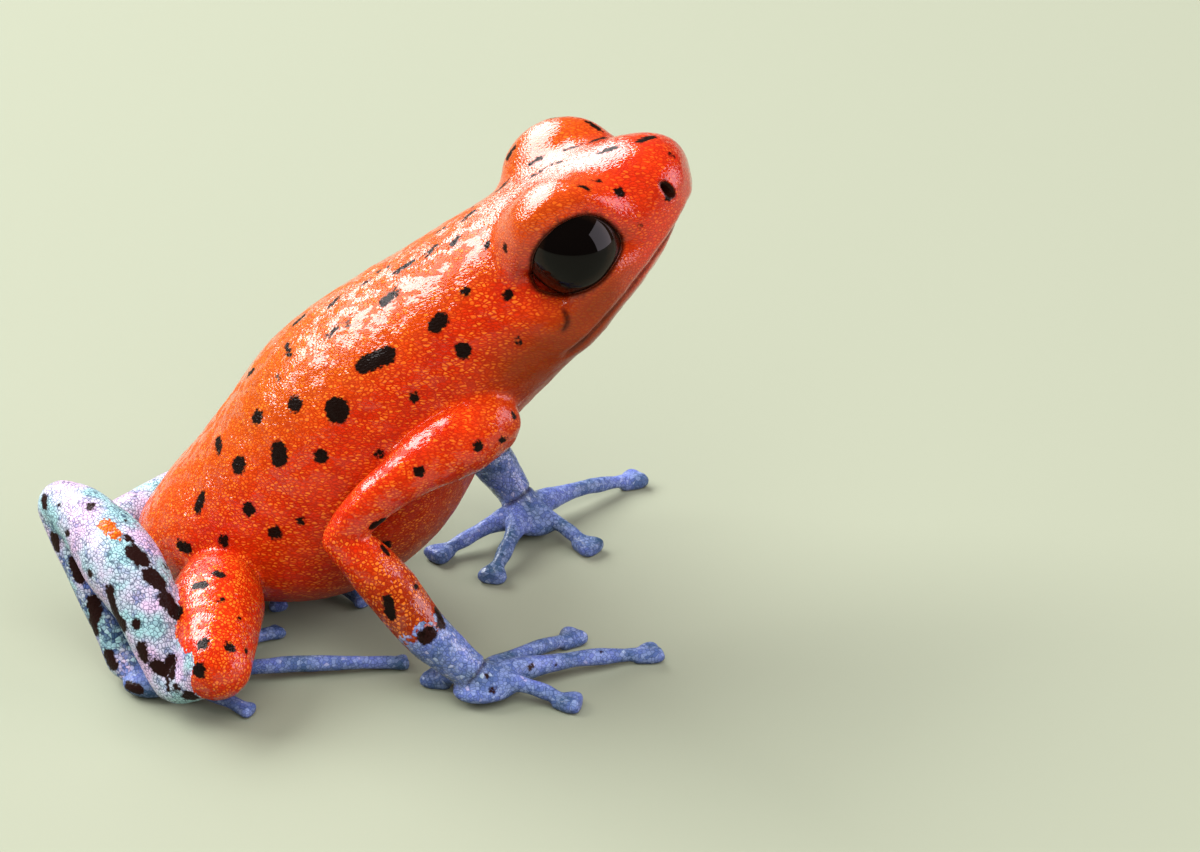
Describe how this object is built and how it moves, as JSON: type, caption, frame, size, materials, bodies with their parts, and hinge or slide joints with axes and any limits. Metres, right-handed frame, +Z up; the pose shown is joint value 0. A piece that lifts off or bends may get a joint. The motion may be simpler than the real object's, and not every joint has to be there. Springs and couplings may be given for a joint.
{
  "type": "poison dart frog model",
  "caption": "Small tropical frog sitting upright on its haunches, head raised, with bulging eyes, slender folded limbs and disc-tipped fingers and toes.",
  "frame": {"origin": "on the floor, under the middle of the frog's bounding box", "axes": "+X the way the frog faces, +Y its left, +Z up"},
  "size_m": [0.0202, 0.0188, 0.0167],
  "materials": {
    "orange_red_skin": "glossy, wet",
    "blue_grey_skin": "glossy, wet",
    "black_eye": "polished"
  },
  "bodies": {
    "root": {"head": "orange_red_skin", "torso": "orange_red_skin", "eye_right": "black_eye", "eye_left": "black_eye", "upper_arm_right": "orange_red_skin", "upper_arm_left": "orange_red_skin", "forearm_right": "orange_red_skin", "forearm_left": "orange_red_skin", "hand_right": "blue_grey_skin", "hand_left": "blue_grey_skin", "thigh_right": "orange_red_skin", "thigh_left": "orange_red_skin", "shank_right": "blue_grey_skin", "shank_left": "blue_grey_skin", "tarsus_right": "blue_grey_skin", "tarsus_left": "blue_grey_skin", "foot_right": "blue_grey_skin", "foot_left": "blue_grey_skin"}
  },
  "joints": []
}
